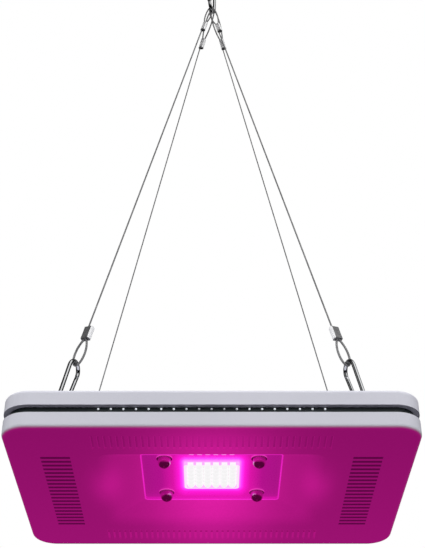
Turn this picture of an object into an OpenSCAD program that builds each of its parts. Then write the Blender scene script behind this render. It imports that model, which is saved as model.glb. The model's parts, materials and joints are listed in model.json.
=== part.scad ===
// Hanging LED grow light: a flat two-shell lamp with a chip-on-board light engine in a
// shallow reflector, hung from one snap hook by four crimped wire ropes.
// Origin: the seat inside the top snap hook, where the ceiling hook bears.
// +Z up, X along the lamp's width, -Y towards the lamp's front edge.

/* [Lamp body] */
// Width of the lamp, left to right
body_w = 310; // [290:1:340]
// Depth of the lamp, front to back
body_d = 220; // [214:1:250]
// Height of the lower cover
lower_h = 13.7; // [13:0.1:15]
// Height of the dark band between the two covers
band_h = 6.1; // [5.5:0.1:7]
// Height of the upper cover
upper_h = 12.7; // [12:0.1:18]
// Corner radius of the lamp seen from below
corner_r = 20; // [17:1:26]
// Rounding of the lower cover's outside edge
lower_round = 4; // [3:0.5:6]
// Rounding of the upper cover's outside edge
upper_round = 3; // [3:0.5:6]
// How far the dark band is set in from the covers
band_inset = 4; // [3:0.5:5]
// Wall thickness of both covers
wall = 2.4; // [2:0.1:2.8]
// Thickness of the silicone gaskets at the band
gasket_h = 0.8; // [0.6:0.1:1]

/* [Reflector and light engine] */
// Width of the reflector recess at the underside
rim_w = 175; // [165:1:185]
// Depth, front to back, of the reflector recess at the underside
rim_d = 137; // [130:1:140]
// Width of the window at the top of the reflector
window_w = 111.5; // [100:0.5:116]
// Depth, front to back, of the window at the top of the reflector
window_d = 85; // [76:1:88]
// Height of the window's edge above the underside
window_z = 13.2; // [12.8:0.1:13.4]
// Height of the light board's face above the underside
board_z = 15.2; // [14.9:0.1:15.4]
// Spacing of the light board's screws, left to right
screw_dx = 74.5; // [70:0.5:78]
// Spacing of the light board's screws, front to back
screw_dy = 63; // [56:0.5:66]
// Number of lens domes along each side of the square array
dome_n = 6; // [4:1:7]
// Spacing of the lens domes
dome_pitch = 6.7; // [6:0.1:7.2]
// How far the lens array sits behind the middle of the light board
array_y = -2.5; // [-4:0.5:4]
// How far the window's gasket stands into the window
gasket_lip = 0.8; // [0:0.1:1.2]

/* [Vents] */
// Number of slots in each side group
side_slots = 20; // [10:1:20]
// Spacing of the side slots, front to back
side_pitch = 6.58; // [6:0.01:6.6]
// Length of a side slot, left to right
side_len = 22.5; // [18:0.5:24]
// Distance of a side group's middle from the lamp's middle
side_x = 118.3; // [116:0.1:119]
// Number of slots in the front row and in the back row
row_slots = 39; // [21:1:39]
// Spacing of the row slots, left to right
row_pitch = 4.65; // [4.6:0.05:4.8]
// Length of a row slot, front to back
row_len = 22; // [16:1:22]
// Distance of a row's middle from the lamp's middle
row_y = 87; // [85:0.5:88]
// Number of round-head pins along the front and the back of the band
pin_n = 19; // [9:2:21]
// Spacing of those pins
pin_pitch = 9.25; // [8:0.05:9.5]

/* [Hanging kit] */
// Drop from the top hook's lower bow to the lamp's underside
drop = 562; // [400:1:800]
// Spacing of the eye bolts, left to right
eye_dx = 240; // [220:1:244]
// Spacing of the eye bolts, front to back
eye_dy = 114; // [100:1:124]
// Overall length of a snap hook
snap_len = 50; // [46:1:56]
// Diameter of a snap hook's round bar
snap_bar = 3.4; // [3:0.1:3.6]
// Bar-centre radius of a snap hook's wide bow
snap_wide = 8; // [7.5:0.1:9]
// Bar-centre radius of a snap hook's narrow bow
snap_narrow = 6.5; // [6.3:0.1:7]
// Diameter of the wire rope
wire_d = 1.2; // [1:0.1:1.3]
// Length of a crimp ferrule
ferrule_len = 13; // [10:0.5:15]
// Eye of the front ropes between their lower snap hooks and ferrules
front_low_eye = 24; // [20:1:30]
// Eye of the back ropes between their lower snap hooks and ferrules
back_low_eye = 15; // [14:1:24]
// Eye of the front ropes at the top hook
front_eye = 26; // [20:1:28]
// Eye of the back ropes at the top hook
back_eye = 40; // [38:1:46]
// Turn of the top hook's flat away from the lamp's width
top_turn = 68; // [60:1:80]
// Turn of the lower snap hooks' flat away from the lamp's depth
low_turn = 18; // [8:1:40]

/* [Hidden] */
$fn = 64;
cut = 1; // how far one shape runs past another's face
thin = 0.02; // thickness of a hull's end plates
bead_over = 0.03; // how far a bead stands out of the bars it joins

row_open = 0.4; // open part of a row slot's spacing

// Heights inside the lamp, measured from its underside
band_low = lower_h;
band_top = lower_h + band_h;
body_h = lower_h + band_h + upper_h;
sink_low = band_low + gasket_h;
sink_top = band_top - gasket_h;
board_t = 1.6;
pad_t = 0.3;
plate_z = board_z + board_t + pad_t;
top_inside = body_h - wall;
fin_top = top_inside - 1;

// Band: gaskets, black tray and pins
gasket_inset = 4.6;
gasket_w = 3;
flange_w = 8; // rim flange of a cover, which a gasket sits on
flange_t = 2;
sink_rim_w = 4;
pin_r = 0.5;
pin_head_r = 0.8;
pin_bore = 5;
pin_depth = 4;
pin_z = sink_top - 0.8;

// Reflector, window and light board
rim_corner = 12;
rim_low = 0.2; // start of the reflector's outside, just inside the floor
window_corner = 3;
board_lap = 4; // how far the board runs past the window
board_w = window_w + 2 * board_lap;
board_d = window_d + 2 * board_lap;
board_corner = 8;
window_gasket_w = 2.5;
pad_w = 96;
pad_d = 74;
pad_corner = 3;
dome_gap = 0.15;
dome_foot = 0.8; // straight foot of a dome
lens_side = dome_n * dome_pitch;
lens_margin = 2;
lens_frame_w = 1.6;
lens_frame_h = 2.8;
lens_notch_w = 4.6;
lens_notch_floor = 0.5; // what a notch leaves of the frame's height
lead_hole = [56, 0];
lead_hole_r = 3;
lead_pocket_r = 2;
lead_r = 0.7;

// Fin block
fin_n = 26;
fin_pitch = 5;
fin_t = 1.2;
fin_base_t = 2;
fin_w = 132;
fin_d = 140;
fin_notch = 12; // room for the board's leads

// Fasteners
case_screw_spots = [[-138, -93], [138, -93], [-142, 0], [142, 0], [-138, 93], [138, 93]];
case_screw_r = 1.5;
case_head_r = 3;
case_head_h = 1.5;
case_sink = 1.8; // depth of a head's counterbore
case_boss_r = 4;
case_screw_low = 6;
board_screw_r = 2;
board_screw_bite = 6;
board_head_r = 5.2;
board_head_foot = 2.6; // straight foot of a dome head
board_washer_r = 6.2;
board_washer_t = 1;
screw_hole_gap = 0.2;

// Vents in the upper cover
top_slot_n = 25;
top_slot_pitch = 5;
top_slot_w = 2;
top_slot_len = 52;
top_slot_y = 36;

// Sealed supply for the light board, in the right-hand bay
driver_at = [76, -36];
driver_size = [30, 72, 8.6];
driver_wall = 1.5;
driver_lid_t = 1.2;
terminal_at = [40, 78];
terminal_size = [22, 12, 7.5];
terminal_pitch = 6.5;
terminal_first = 4.5;
terminal_wire_z = 2.4;
terminal_well_r = 1.6;
terminal_entry_r = 1.2;
lead_run_z = 4; // height of the leads above the black tray
lead_y = 0.9; // half the spacing of the light board's leads
supply_x = 8; // place of the supply leads' window along the case
supply_gap = 3;

// Cable gland on the top, towards the back
gland_spot = [0, 84];
gland_r = 6;
gland_hex_r = 9;
gland_hex_h = 4;
gland_nut_h = 3.2;
gland_body_up = 7;
gland_body_down = 7;
cord_r = 3.3;
seal_wall = 1.4;
seal_down = 6;
cap_r = 7.4;
cap_side_h = 3.5;
cap_h = 8;

// Eye bolts
eye_ring_r = 5.5;
eye_bar_r = 1.5;
eye_shank_r = 2.5;
eye_shank_down = 9;
eye_up = 9.5; // ring centre above the upper cover
eye_collar_r = 4;
eye_collar_h = 2;
eye_boss_r = 8;
eye_boss_h = 1;
eye_nut_r = 4.6;
eye_nut_h = 4;
washer_r = 6;
washer_t = 1;

// Hanging geometry
snap_r = snap_bar / 2;
snap_reach = snap_len - snap_bar; // from bow bar centre to bow bar centre
gap = 0.3;
base_z = snap_r - snap_reach - drop;
bow_z = snap_r - snap_reach;
top_dir = [cos(top_turn), sin(top_turn), 0];
ring_z = base_z + body_h + eye_up;
rope_pitch = 1.7;
strand_x = 1.25;
eye_arc_r = 3.6;
eye_shift = eye_arc_r - (snap_r + gap + wire_d / 2);
ferrule_r = 2;
low_flat = 3.6; // flat width of a ferrule's broad faces
top_flat = 1.4;
ferrule_gap = 0.5; // from a rope eye's end to the ferrule's mouth
ferrule_bore_gap = 0.05;
rope_out = 1; // how much longer than a ferrule the strands' parallel stretch is

// Snap hook: gate line, hinge pin and tang
snap_run = snap_reach - snap_wide - snap_narrow;
snap_lean = asin((snap_wide - snap_narrow) / snap_run);
gate_foot = [0, -snap_narrow * cos(snap_lean), snap_narrow * (1 - sin(snap_lean))];
gate_len = snap_run * cos(snap_lean);
gate_hinge = 3.4; // hinge pin above the foot of the gate's line
gate_pin_r = 0.7;
gate_pin_gap = 0.05;
gate_rivet_r = 1.1;
gate_rivet_h = 0.4;
gate_slot = 2;
gate_slot_end = 5.6; // top of the slot round the tang
gate_foot_gap = 0.9;
gate_tip_gap = 0.6;
gate_catch = 3; // length of the catch at the gate's free end
tang_t = 1.4;
tang_r = 1.25;

// Corner signs: front is -Y, left is -X
FL = [-1, -1];
FR = [1, -1];
BL = [-1, 1];
BR = [1, 1];
CORNERS = [FL, FR, BL, BR];

function unit(v) = v / norm(v);

// Order in which the four ropes sit on the top hook's lower bow
function rope_slot(c) = c == FL ? -1.5 : c == FR ? -0.5 : c == BL ? 0.5 : 1.5;

// Centre of the bow's bar under a rope's eye
function rope_top(c) =
    let (turn = asin(rope_slot(c) * rope_pitch / snap_narrow))
    [0, 0, bow_z + snap_narrow * (1 - cos(turn))] + snap_narrow * sin(turn) * top_dir;

function ring_centre(c) = [c[0] * eye_dx / 2, c[1] * eye_dy / 2, ring_z];

// Direction across a lower snap hook, level, pointing away from the lamp's middle
function low_across(c) = [c[0] * sin(low_turn), c[1] * cos(low_turn), 0];

// A vector with the part along n taken out
function flatten(v, n) = v - (v * n) * n;

// Centre of a lower snap hook's bottom bow bar, pulled up against its eye ring
function rope_low(c) =
    let (pull = unit(rope_top(c) - ring_centre(c)))
    let (in_ring = unit(flatten(pull, low_across(c))))
    ring_centre(c) + (eye_ring_r - eye_bar_r - gap - snap_r) * in_ring;

function rope_up(c) = unit(rope_top(c) - rope_low(c));

// Point p of a local frame: z runs along dir, y is the level direction across, x completes it
function spot(at, dir, across, p) =
    let (y = unit(flatten(across, dir)))
    at + p[0] * cross(y, dir) + p[1] * y + p[2] * dir;

// Places children in that local frame
module in_line(at, dir, across) {
    tilt = acos(dir[2]);
    around = atan2(dir[1], dir[0]);
    east = [cos(around) * cos(tilt), sin(around) * cos(tilt), -sin(tilt)];
    north = [-sin(around), cos(around), 0];
    translate(at)
        rotate([0, tilt, around])
            rotate([0, 0, atan2(-(across * east), across * north)])
                children();
}

// Round bar from point a to point b
module bar(a, b, r) {
    run = b - a;
    translate(a)
        rotate([0, acos(run[2] / norm(run)), atan2(run[1], run[0])])
            cylinder(r = r, h = norm(run));
}

// Ball a hair larger than a round bar, set where two stretches of it meet
module bead(at, r) {
    translate(at) sphere(r = r + bead_over);
}

// Children in the lamp's own frame: middle of the underside at the origin
module in_lamp() {
    translate([0, 0, base_z]) children();
}

// Rounded rectangle, centred
module plate_outline(w, d, r) {
    union() {
        square([w - 2 * r, d], center = true);
        square([w, d - 2 * r], center = true);
        for (x = [-1, 1], y = [-1, 1])
            translate([x * (w / 2 - r), y * (d / 2 - r)]) circle(r = r);
    }
}

module plate(w, d, r, low, high) {
    translate([0, 0, low]) linear_extrude(high - low) plate_outline(w, d, r);
}

// Ring between two rounded rectangles
module frame_ring(w, d, r, inset, low, high) {
    difference() {
        plate(w, d, r, low, high);
        plate(w - 2 * inset, d - 2 * inset, r - inset, low - cut, high + cut);
    }
}

// Cross-section of a rounded slab: half width w from the middle, edge rounding at the bottom
module edge_profile(w, h, e) {
    union() {
        square([w - e, h]);
        translate([0, e]) square([w, h - e]);
        translate([w - e, e]) circle(r = e);
    }
}

// Slab with rounded plan corners r and a rounded bottom edge e
module rounded_slab(w, d, h, r, e) {
    union() {
        for (m = [0, 1]) mirror([m, 0, 0]) rotate([90, 0, 0])
            linear_extrude(d - 2 * r, center = true) edge_profile(w / 2, h, e);
        for (m = [0, 1]) mirror([0, m, 0]) rotate([90, 0, 90])
            linear_extrude(w - 2 * r, center = true) edge_profile(d / 2, h, e);
        for (x = [-1, 1], y = [-1, 1])
            translate([x * (w / 2 - r), y * (d / 2 - r), 0])
                rotate_extrude() edge_profile(r, h, e);
    }
}

// Open tray: a rounded slab hollowed from its flat side
module tray(h, e) {
    difference() {
        rounded_slab(body_w, body_d, h, corner_r, e);
        translate([0, 0, wall])
            rounded_slab(body_w - 2 * wall, body_d - 2 * wall, h + cut, corner_r - wall, e - wall);
    }
}

// Inward flange of a cover's rim, rooted in the middle of the wall
module rim_flange(low) {
    frame_ring(body_w - wall, body_d - wall, corner_r - wall / 2, flange_w - wall / 2, low, low + flange_t);
}

// Funnel between the rim outline and the window outline, each grown by grow
module funnel(grow, low, high) {
    hull() {
        plate(rim_w + 2 * grow, rim_d + 2 * grow, rim_corner + grow, low, low + thin, $fn = 48);
        plate(window_w + 2 * grow, window_d + 2 * grow, window_corner + grow, high - thin, high, $fn = 48);
    }
}

module vent_slots() {
    for (side = [-1, 1], i = [0 : side_slots - 1])
        translate([side * side_x, (i - (side_slots - 1) / 2) * side_pitch, 0])
            cube([side_len, side_pitch / 2, 2 * (wall + cut)], center = true);
    for (side = [-1, 1], i = [0 : row_slots - 1])
        translate([(i - (row_slots - 1) / 2) * row_pitch, side * row_y, 0])
            cube([row_pitch * row_open, row_len, 2 * (wall + cut)], center = true);
}

module lower_cover() {
    color([0.8, 0.8, 0.84]) in_lamp() difference() {
        union() {
            tray(lower_h, lower_round);
            rim_flange(band_low - flange_t);
            funnel(wall, rim_low, window_z);
            for (p = case_screw_spots)
                translate([p[0], p[1], wall / 2]) cylinder(r = case_boss_r, h = plate_z - wall / 2);
        }
        funnel(0, -thin, window_z + thin);
        vent_slots();
        for (p = case_screw_spots)
            translate([p[0], p[1], case_screw_low]) cylinder(r = case_screw_r, h = plate_z);
    }
}

module band_gasket(low, high) {
    w = body_w - 2 * gasket_inset;
    d = body_d - 2 * gasket_inset;
    frame_ring(w, d, corner_r - gasket_inset, gasket_w, low, high);
}

module lower_gasket() {
    color([0.05, 0.05, 0.06]) in_lamp() band_gasket(band_low, sink_low);
}

module upper_gasket() {
    color([0.05, 0.05, 0.06]) in_lamp() band_gasket(sink_top, band_top);
}

module board_screw_holes(r, low, high) {
    for (x = [-1, 1], y = [-1, 1])
        translate([x * screw_dx / 2, y * screw_dy / 2, low]) cylinder(r = r, h = high - low);
}

// Black cast tray whose rim is the dark band and whose floor carries the light board
module heat_sink_base() {
    w = body_w - 2 * band_inset;
    d = body_d - 2 * band_inset;
    r = corner_r - band_inset;
    lap = sink_rim_w / 2;
    color([0.1, 0.12, 0.13]) in_lamp() difference() {
        union() {
            frame_ring(w, d, r, sink_rim_w, sink_low, sink_top);
            plate(w - 2 * lap, d - 2 * lap, r - lap, plate_z, sink_top);
        }
        board_screw_holes(board_screw_r + screw_hole_gap, plate_z - cut, sink_top + cut);
        for (p = case_screw_spots)
            translate([p[0], p[1], plate_z - cut]) cylinder(r = case_screw_r + screw_hole_gap, h = band_h);
        translate([lead_hole[0], lead_hole[1], plate_z - cut]) cylinder(r = lead_hole_r, h = band_h);
        for (side = [-1, 1], i = [0 : pin_n - 1])
            translate([(i - (pin_n - 1) / 2) * pin_pitch, side * (d - pin_bore) / 2, pin_z])
                rotate([90, 0, 0]) cylinder(r = pin_r, h = pin_bore, center = true);
    }
}

module fin_block() {
    color([0.7, 0.71, 0.73]) in_lamp() difference() {
        union() {
            translate([-fin_w / 2, -fin_d / 2, sink_top]) cube([fin_w, fin_d, fin_base_t]);
            for (i = [0 : fin_n - 1])
                translate([(i - (fin_n - 1) / 2) * fin_pitch - fin_t / 2, -fin_d / 2, sink_top])
                    cube([fin_t, fin_d, fin_top - sink_top]);
        }
        board_screw_holes(board_screw_r, sink_top - cut, sink_top + board_screw_bite);
        translate([lead_hole[0] - lead_hole_r - cut, -fin_notch / 2, sink_top - cut])
            cube([fin_w / 2, fin_notch, body_h]);
    }
}

module upper_cover() {
    color([0.8, 0.8, 0.84]) in_lamp() difference() {
        union() {
            translate([0, 0, body_h]) mirror([0, 0, 1]) tray(upper_h, upper_round);
            rim_flange(band_top);
            for (p = case_screw_spots)
                translate([p[0], p[1], sink_top])
                    cylinder(r = case_boss_r, h = body_h - sink_top - wall / 2);
            for (c = CORNERS)
                translate([c[0] * eye_dx / 2, c[1] * eye_dy / 2, top_inside - eye_boss_h])
                    cylinder(r = eye_boss_r, h = eye_boss_h + wall / 2);
        }
        for (p = case_screw_spots) translate([p[0], p[1], 0]) {
            cylinder(r = case_screw_r + screw_hole_gap, h = body_h + cut);
            translate([0, 0, body_h - case_sink])
                cylinder(r = case_head_r + screw_hole_gap, h = case_sink + cut);
        }
        for (c = CORNERS)
            translate([c[0] * eye_dx / 2, c[1] * eye_dy / 2, top_inside - 2 * cut])
                cylinder(r = eye_shank_r + screw_hole_gap, h = wall + 3 * cut);
        translate([gland_spot[0], gland_spot[1], top_inside - cut])
            cylinder(r = gland_r + screw_hole_gap, h = wall + 2 * cut);
        for (side = [-1, 1], i = [0 : top_slot_n - 1])
            translate([(i - (top_slot_n - 1) / 2) * top_slot_pitch, side * top_slot_y, body_h])
                cube([top_slot_w, top_slot_len, 2 * (wall + cut)], center = true);
    }
}

module window_gasket() {
    color([0.9, 0.9, 0.92]) in_lamp()
        frame_ring(window_w + 2 * window_gasket_w, window_d + 2 * window_gasket_w,
            window_corner + window_gasket_w, window_gasket_w + gasket_lip, window_z, board_z);
}

module light_board() {
    color([0.92, 0.92, 0.94]) in_lamp() difference() {
        plate(board_w, board_d, board_corner, board_z, board_z + board_t);
        board_screw_holes(board_screw_r + screw_hole_gap, board_z - cut, plate_z);
        translate([lead_hole[0], lead_hole[1], board_z + board_t / 2])
            cylinder(r = lead_pocket_r, h = board_t);
    }
}

module thermal_pad() {
    color([0.6, 0.7, 0.8]) in_lamp() difference() {
        plate(pad_w, pad_d, pad_corner, board_z + board_t, plate_z);
        board_screw_holes(board_screw_r + 3 * screw_hole_gap, board_z, plate_z + cut);
    }
}

// Places children over each lens dome, on the light board's face
module over_domes(rows) {
    mid = (dome_n - 1) / 2;
    for (i = [0 : dome_n - 1], j = rows)
        translate([(i - mid) * dome_pitch, array_y + (j - mid) * dome_pitch, board_z])
            children();
}

// Frame round the domes, with a notch for each dome of the front row
module lens_frame() {
    side = lens_side + 2 * lens_margin;
    color([0.95, 0.95, 0.97]) in_lamp() difference() {
        translate([0, array_y, 0])
            frame_ring(side, side, lens_margin + cut, lens_frame_w, board_z - lens_frame_h, board_z);
        over_domes([-1])
            translate([-lens_notch_w / 2, -dome_pitch / 2, -lens_frame_h - cut])
                cube([lens_notch_w, dome_pitch, lens_frame_h + cut - lens_notch_floor]);
    }
}

// Hemisphere on a straight foot, round side down, its seat at the origin
module foot_dome(r, foot) {
    intersection() {
        union() {
            translate([0, 0, -foot]) cylinder(r = r, h = foot);
            translate([0, 0, -foot]) sphere(r = r);
        }
        translate([-2 * r, -2 * r, -4 * r]) cube(4 * r);
    }
}

module lens_domes() {
    color([1, 0.98, 1]) in_lamp() over_domes([0 : dome_n - 1])
        foot_dome(dome_pitch / 2 - dome_gap, dome_foot);
}

// Domed screw head with a cross recess, head down, its seat at the origin
module dome_head(r, foot) {
    difference() {
        foot_dome(r, foot);
        cross_recess(r, r * 0.2, -foot - r - cut, -foot - 0.6 * r);
    }
}

// Two crossed slots, w long and t wide, between two heights
module cross_recess(w, t, low, high) {
    for (size = [[w, t], [t, w]])
        translate([0, 0, (low + high) / 2]) cube([size[0], size[1], high - low], center = true);
}

module board_screws() {
    color([0.75, 0.76, 0.78]) in_lamp()
        for (x = [-1, 1], y = [-1, 1])
            translate([x * screw_dx / 2, y * screw_dy / 2, board_z - board_washer_t]) {
                dome_head(board_head_r, board_head_foot);
                cylinder(r = board_screw_r, h = sink_top + board_screw_bite - board_z);
            }
}

module board_washers() {
    color([0.7, 0.7, 0.73]) in_lamp()
        for (x = [-1, 1], y = [-1, 1])
            translate([x * screw_dx / 2, y * screw_dy / 2, board_z - board_washer_t])
                difference() {
                    cylinder(r = board_washer_r, h = board_washer_t);
                    translate([0, 0, -cut])
                        cylinder(r = board_screw_r + screw_hole_gap, h = board_washer_t + 2 * cut);
                }
}

// Round-head pins along the front and the back of the band
module band_pins() {
    y = body_d / 2 - band_inset;
    color([0.9, 0.9, 0.92]) in_lamp()
        for (side = [0, 1], i = [0 : pin_n - 1])
            mirror([0, side, 0])
                translate([(i - (pin_n - 1) / 2) * pin_pitch, y, pin_z]) rotate([-90, 0, 0]) {
                    translate([0, 0, -pin_depth]) cylinder(r = pin_r, h = pin_depth + pin_r);
                    intersection() {
                        sphere(r = pin_head_r);
                        cylinder(r = pin_head_r, h = pin_head_r);
                    }
                }
}

module case_screws() {
    shank = body_h - case_sink - case_screw_low;
    color([0.75, 0.76, 0.78]) in_lamp()
        for (p = case_screw_spots)
            translate([p[0], p[1], body_h - case_sink]) {
                translate([0, 0, -shank]) cylinder(r = case_screw_r, h = shank);
                difference() {
                    cylinder(r = case_head_r, h = case_head_h);
                    cross_recess(1.2 * case_head_r, 0.24 * case_head_r, case_head_h / 2, case_head_h + cut);
                }
            }
}

// Open box of the supply, with a window for each pair of leads
module driver_case() {
    size = driver_size;
    lead_gap = 3 * lead_r;
    color([0.35, 0.36, 0.38]) in_lamp() translate([driver_at[0], driver_at[1], sink_top]) difference() {
        cube([size[0], size[1], size[2] - driver_lid_t]);
        translate([driver_wall, driver_wall, driver_wall])
            cube([size[0] - 2 * driver_wall, size[1] - 2 * driver_wall, size[2]]);
        translate([-cut, size[1] / 2 - lead_gap, lead_run_z - lead_gap / 2])
            cube([driver_wall + 2 * cut, 2 * lead_gap, lead_gap]);
        translate([supply_x, size[1] - driver_wall - cut, lead_run_z - lead_gap / 2])
            cube([3 * lead_gap, driver_wall + 2 * cut, lead_gap]);
    }
}

module driver_lid() {
    color([0.3, 0.31, 0.33]) in_lamp()
        translate([driver_at[0], driver_at[1], sink_top + driver_size[2] - driver_lid_t])
            cube([driver_size[0], driver_size[1], driver_lid_t]);
}

// Three-way block: a screw well over each wire entry
module terminal_block() {
    color([0.85, 0.85, 0.8]) in_lamp() translate([terminal_at[0], terminal_at[1], sink_top]) difference() {
        cube(terminal_size);
        for (i = [0 : 2]) translate([terminal_first + i * terminal_pitch, 0, 0]) {
            translate([0, terminal_size[1] / 2, terminal_wire_z])
                cylinder(r = terminal_well_r, h = terminal_size[2]);
            translate([0, -cut, terminal_wire_z])
                rotate([-90, 0, 0]) cylinder(r = terminal_entry_r, h = terminal_size[1] / 2 + cut);
        }
    }
}

// A lead laid through a list of points, with round corners
module lead(pts, r) {
    union() {
        for (i = [0 : len(pts) - 2]) bar(pts[i], pts[i + 1], r);
        for (i = [1 : len(pts) - 2]) bead(pts[i], r);
    }
}

module light_leads() {
    z = sink_top + lead_run_z;
    color([0.75, 0.1, 0.1]) in_lamp() for (side = [-1, 1])
        lead([
            [lead_hole[0], side * lead_y, board_z + board_t / 2 + 0.1],
            [lead_hole[0], side * lead_y, z],
            [driver_at[0] + driver_wall + cut, side * lead_y, z]
        ], lead_r);
}

module supply_leads() {
    z = sink_top + lead_run_z;
    low_z = sink_top + terminal_wire_z;
    color([0.2, 0.3, 0.7]) in_lamp() for (i = [0, 1]) {
        x = driver_at[0] + supply_x + (1 + 2 * i) * supply_gap / 2;
        y = fin_d / 2 + 2 + i * supply_gap;
        end_x = terminal_at[0] + terminal_first + 2 * i * terminal_pitch;
        lead([
            [x, driver_at[1] + driver_size[1] - driver_wall - cut, z],
            [x, y, z],
            [end_x, y, low_z],
            [end_x, terminal_at[1] + 2, low_z]
        ], lead_r);
    }
}

// Cable gland: threaded body with a hexagon, clamping cap and seal
module gland_body() {
    color([0.12, 0.12, 0.13]) in_lamp() translate([gland_spot[0], gland_spot[1], body_h]) difference() {
        union() {
            translate([0, 0, -gland_body_down]) cylinder(r = gland_r, h = gland_body_down);
            cylinder(r = gland_hex_r, h = gland_hex_h, $fn = 6);
            cylinder(r = gland_r + 0.5, h = gland_body_up);
        }
        translate([0, 0, -gland_body_down - cut])
            cylinder(r = cord_r + seal_wall, h = gland_body_down + gland_body_up + 2 * cut);
    }
}

module gland_nut() {
    color([0.14, 0.14, 0.15]) in_lamp()
        translate([gland_spot[0], gland_spot[1], top_inside - gland_nut_h]) difference() {
            cylinder(r = gland_hex_r, h = gland_nut_h, $fn = 6);
            translate([0, 0, -cut]) cylinder(r = gland_r, h = gland_nut_h + 2 * cut);
        }
}

// Seal inside the gland and the domed cap above it, in one
module gland_seal() {
    color([0.05, 0.05, 0.05]) in_lamp()
        translate([gland_spot[0], gland_spot[1], body_h + gland_body_up]) difference() {
            union() {
                translate([0, 0, -seal_down]) cylinder(r = cord_r + seal_wall, h = seal_down);
                cylinder(r = cap_r, h = cap_side_h);
                translate([0, 0, cap_side_h])
                    cylinder(r1 = cap_r, r2 = cap_r * 0.7, h = cap_h - cap_side_h);
            }
            translate([0, 0, -seal_down - cut]) cylinder(r = cord_r, h = seal_down + cap_h + 2 * cut);
        }
}

// Ring and collar above the cover, shank through it
module eye_bolt(c) {
    across = low_across(c);
    color([0.78, 0.79, 0.8]) {
        translate(ring_centre(c)) rotate([90, 0, atan2(across[1], across[0]) + 90])
            rotate_extrude() translate([eye_ring_r, 0]) circle(r = eye_bar_r);
        translate([c[0] * eye_dx / 2, c[1] * eye_dy / 2, base_z + body_h]) {
            translate([0, 0, washer_t]) cylinder(r = eye_collar_r, h = eye_collar_h);
            translate([0, 0, -eye_shank_down])
                cylinder(r = eye_shank_r, h = eye_shank_down + eye_up - eye_ring_r);
        }
    }
}

module eye_washers() {
    color([0.7, 0.71, 0.72]) in_lamp() for (c = CORNERS)
        translate([c[0] * eye_dx / 2, c[1] * eye_dy / 2, 0])
            for (z = [body_h, top_inside - eye_boss_h - washer_t])
                translate([0, 0, z]) difference() {
                    cylinder(r = washer_r, h = washer_t);
                    translate([0, 0, -cut])
                        cylinder(r = eye_shank_r + screw_hole_gap, h = washer_t + 2 * cut);
                }
}

module eye_nuts() {
    z = top_inside - eye_boss_h - washer_t - eye_nut_h;
    color([0.72, 0.72, 0.74]) in_lamp() for (c = CORNERS)
        translate([c[0] * eye_dx / 2, c[1] * eye_dy / 2, z]) difference() {
            cylinder(r = eye_nut_r, h = eye_nut_h, $fn = 6);
            translate([0, 0, -cut]) cylinder(r = eye_shank_r, h = eye_nut_h + 2 * cut);
        }
}

// Snap hook, in its own frame: z from the narrow bow's bar centre to the wide bow's,
// y across the hook, gate on the -y side

// Arc of round bar in the hook's plane, from angle a through the given sweep
module bow(r, a, sweep) {
    rotate([a, 0, 0]) rotate([90, 0, 90])
        rotate_extrude(angle = sweep) translate([r, 0]) circle(r = snap_r);
}

// Children on the gate's line: z up the line, origin at its foot
module on_gate_line() {
    translate(gate_foot) rotate([snap_lean, 0, 0]) children();
}

module snap_body() {
    union() {
        translate([0, 0, snap_narrow]) bow(snap_narrow, 180 + snap_lean, 180 - 2 * snap_lean);
        translate([0, 0, snap_reach - snap_wide]) bow(snap_wide, -snap_lean, 180 + 2 * snap_lean);
        mirror([0, 1, 0]) on_gate_line() {
            cylinder(r = snap_r, h = gate_len);
            for (z = [0, gate_len]) bead([0, 0, z], snap_r);
        }
        on_gate_line() {
            translate([-tang_t / 2, -tang_r, -cut]) cube([tang_t, 2 * tang_r, cut + gate_hinge]);
            translate([0, 0, gate_hinge]) rotate([0, 90, 0])
                cylinder(r = tang_r, h = tang_t, center = true);
        }
        on_gate_line() translate([0, 0, gate_hinge]) rotate([0, 90, 0]) {
            cylinder(r = gate_pin_r, h = snap_bar + 0.2, center = true);
            for (side = [-1, 1]) translate([0, 0, side * (snap_r + gap)])
                cylinder(r = gate_rivet_r, h = gate_rivet_h, center = true);
        }
        on_gate_line() translate([-tang_t / 2, -tang_r, gate_len - gate_catch])
            cube([tang_t, 2 * tang_r, gate_catch + cut]);
    }
}

module snap_gate() {
    w = 2 * snap_bar;
    on_gate_line() difference() {
        translate([0, 0, gate_foot_gap])
            cylinder(r = snap_r - 0.1, h = gate_len - gate_foot_gap - gate_tip_gap);
        translate([-gate_slot / 2, -w / 2, 0]) cube([gate_slot, w, gate_slot_end]);
        translate([-gate_slot / 2, -w / 2, gate_len - gate_catch - gate_tip_gap])
            cube([gate_slot, w, gate_catch + cut]);
        translate([0, 0, gate_hinge]) rotate([0, 90, 0])
            cylinder(r = gate_pin_r + gate_pin_gap, h = w, center = true);
    }
}

module at_low_snap(c) {
    in_line(rope_low(c), rope_up(c), low_across(c)) children();
}

module low_snap_body(c) {
    color([0.8, 0.81, 0.82]) at_low_snap(c) snap_body();
}

module low_snap_gate(c) {
    color([0.86, 0.87, 0.88]) at_low_snap(c) snap_gate();
}

module at_top_hook() {
    in_line([0, 0, bow_z], [0, 0, 1], top_dir) children();
}

module top_hook_body() {
    color([0.8, 0.81, 0.82]) at_top_hook() snap_body();
}

module top_hook_gate() {
    color([0.86, 0.87, 0.88]) at_top_hook() snap_gate();
}

// Rope
function top_eye(c) = c[1] < 0 ? front_eye : back_eye;
function low_eye(c) = c[1] < 0 ? front_low_eye : back_low_eye;

// Where a rope's standing part leaves its ferrule, in the local frame of one end
function ferrule_exit(eye_len) = [strand_x, 0, eye_len + ferrule_len + rope_out];

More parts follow.
